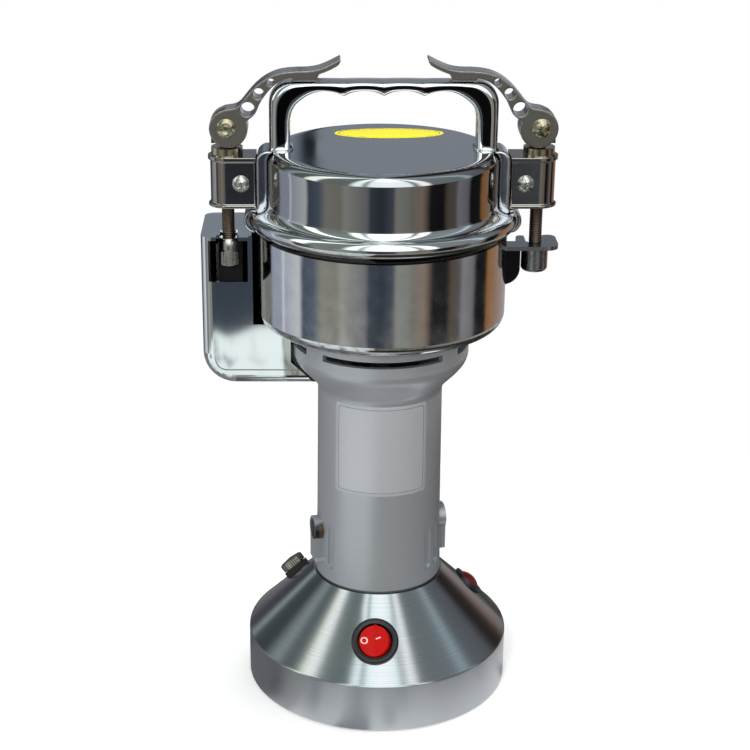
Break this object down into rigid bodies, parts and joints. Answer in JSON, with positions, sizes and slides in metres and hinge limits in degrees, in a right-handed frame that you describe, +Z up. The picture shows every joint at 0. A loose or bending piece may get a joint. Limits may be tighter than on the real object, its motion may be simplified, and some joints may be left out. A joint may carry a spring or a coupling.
{
  "type": "grinding mill",
  "caption": "Upright dry-grinding mill: clamped steel lid with a grip handle, deep bowl with crossed blades, motor neck and cone base with a rocker switch.",
  "frame": {"origin": "centre of the rubber foot pad's underside, on the rotor's axis", "axes": "+Z up along the rotor axis; -Y to the front with the power switch; +X to the side with the open lug"},
  "size_m": [0.1494, 0.119, 0.2802],
  "materials": {
    "spun_aluminium": "spun and brushed round the axis, satin skirt",
    "foot_rubber": "matt black, moulded",
    "zinc_plate": "zinc plated sheet",
    "screw_steel": "nickel plated",
    "black_nylon": "matt moulded nylon",
    "cream_plastic": "matt moulded",
    "black_rubber": "matt black",
    "silver_casting": "satin silver paint on a casting",
    "raw_casting": "machined casting",
    "bearing_steel": "ground and polished",
    "core_steel": "stacked laminations",
    "copper_winding": "enamelled copper wire, tight winding",
    "phenolic": "dark brown insulating resin",
    "carbon": "pressed carbon",
    "black_phenolic": "black gloss screw cap",
    "polished_stainless": "mirror polished stainless steel",
    "white_seal": "white food-grade seal",
    "silicone": "translucent white silicone",
    "dark_steel": "dark blued steel, soft shine",
    "chrome_plate": "mirror chrome plate",
    "dark_chrome": "dark chrome plate",
    "switch_black": "black moulded switch body",
    "switch_red": "red translucent-looking rocker, glossy",
    "nickel_cap": "dark nickel, knurled edge",
    "fuse_glass": "cream ceramic fuse link",
    "reset_red": "dark red button",
    "shaft_steel": "ground shaft",
    "commutator_copper": "bright copper bars",
    "fan_plastic": "black moulded fan",
    "blade_steel": "ground stainless edge",
    "rod_steel": "brownish threaded steel, oiled",
    "lever_steel": "gunmetal casting with bright worn edges",
    "pin_steel": "bright worn steel"
  },
  "bodies": {
    "mill": {"base_shell": "spun_aluminium", "foot_pad": "foot_rubber", "bottom_plate": "zinc_plate", "base_screws": "screw_steel", "cord_gland": "black_nylon", "terminal_block": "cream_plastic", "neck_gasket": "black_rubber", "motor_housing": "silver_casting", "bearing_bridge": "raw_casting", "lower_bearing": "bearing_steel", "stator_core": "core_steel", "field_coils": "copper_winding", "brush_holders": "phenolic", "carbon_brushes": "carbon", "brush_caps": "black_phenolic", "upper_bearing": "bearing_steel", "bowl_carrier": "raw_casting", "bowl": "polished_stainless", "bowl_screws": "screw_steel", "shaft_seal": "white_seal", "lug": "dark_steel", "interlock_cover": "chrome_plate", "interlock_gasket": "black_rubber", "microswitch": "switch_black", "switch_bracket": "zinc_plate", "switch_bezel": "switch_black", "fuse_holder": "bearing_steel", "reset_body": "switch_black"},
    "rotor": {"motor_shaft": "shaft_steel", "armature_core": "core_steel", "armature_winding": "copper_winding", "commutator": "commutator_copper", "cooling_fan": "fan_plastic", "blade_hub": "shaft_steel", "lower_blade": "blade_steel", "upper_blade": "blade_steel", "blade_nut": "blade_steel"},
    "lid": {"lid_shell": "polished_stainless", "lid_gasket": "silicone", "handle": "chrome_plate", "handle_screws": "screw_steel", "lid_ears": "dark_chrome", "sleeve_right": "dark_chrome", "sleeve_left": "dark_chrome", "sleeve_screws": "screw_steel", "cam_seats": "pin_steel"},
    "clamp_rod_right": {"rod_right": "rod_steel", "nut_right": "dark_steel"},
    "cam_lever_right": {"lever_right": "lever_steel", "pin_right": "pin_steel"},
    "clamp_rod_left": {"rod_left": "rod_steel", "nut_left": "dark_steel"},
    "cam_lever_left": {"lever_left": "lever_steel", "pin_left": "pin_steel"},
    "power_rocker": {"rocker": "switch_red"},
    "fuse": {"fuse_link": "fuse_glass"},
    "fuse_screw_cap": {"fuse_cap": "nickel_cap"},
    "overload_button": {"reset_button": "reset_red"},
    "lid_sensor": {"microswitch_plunger": "switch_red"}
  },
  "joints": [
    {"name": "rotor_spin", "type": "hinge", "parent": "mill", "child": "rotor", "pos_m": [0, 0, 0.1], "axis": [0, 0, 1], "continuous": true},
    {"name": "lid_twist", "type": "hinge", "parent": "mill", "child": "lid", "pos_m": [0, 0, 0.21], "axis": [0, 0, 1], "range_deg": [0, 20]},
    {"name": "rod_slide_right", "type": "slide", "parent": "lid", "child": "clamp_rod_right", "axis": [0, 0, -1], "range_m": [0, 0.0013]},
    {"name": "lever_right_turn", "type": "hinge", "parent": "clamp_rod_right", "child": "cam_lever_right", "pos_m": [0.0642, 0, 0.252], "axis": [0, 1, 0], "range_deg": [0, 110]},
    {"name": "rod_slide_left", "type": "slide", "parent": "lid", "child": "clamp_rod_left", "axis": [0, 0, -1], "range_m": [0, 0.0013]},
    {"name": "lever_left_turn", "type": "hinge", "parent": "clamp_rod_left", "child": "cam_lever_left", "pos_m": [-0.0642, 0, 0.252], "axis": [0, -1, 0], "range_deg": [0, 110]},
    {"name": "rocker_tilt", "type": "hinge", "parent": "mill", "child": "power_rocker", "pos_m": [-0.00224, -0.0428, 0.0354], "axis": [0.0373, 0.7122, 0.701], "range_deg": [0, 14]},
    {"name": "fuse_rise", "type": "slide", "parent": "mill", "child": "fuse", "axis": [-0.6189, 0.3291, 0.7132], "range_m": [0, 0.0045]},
    {"name": "fuse_cap_turn", "type": "hinge", "parent": "fuse", "child": "fuse_screw_cap", "pos_m": [-0.03638, 0.01934, 0.03871], "axis": [-0.6189, 0.3291, 0.7132], "range_deg": [0, 1080]},
    {"name": "overload_press", "type": "slide", "parent": "mill", "child": "overload_button", "axis": [-0.6738, -0.1932, -0.7132], "range_m": [0, 0.0025], "stiffness_N_per_m": 400, "springref_m": -0.001},
    {"name": "lid_sensor_press", "type": "slide", "parent": "mill", "child": "lid_sensor", "axis": [0, 1, 0], "range_m": [0, 0.0015], "stiffness_N_per_m": 400, "springref_m": -0.001}
  ],
  "couplings": [
    {"joint": "lever_right_turn", "follows": "rod_slide_right", "rad_per_m": 1476.8},
    {"joint": "lever_left_turn", "follows": "rod_slide_left", "rad_per_m": 1476.8},
    {"joint": "fuse_cap_turn", "follows": "fuse_rise", "rad_per_m": 4188.7}
  ]
}
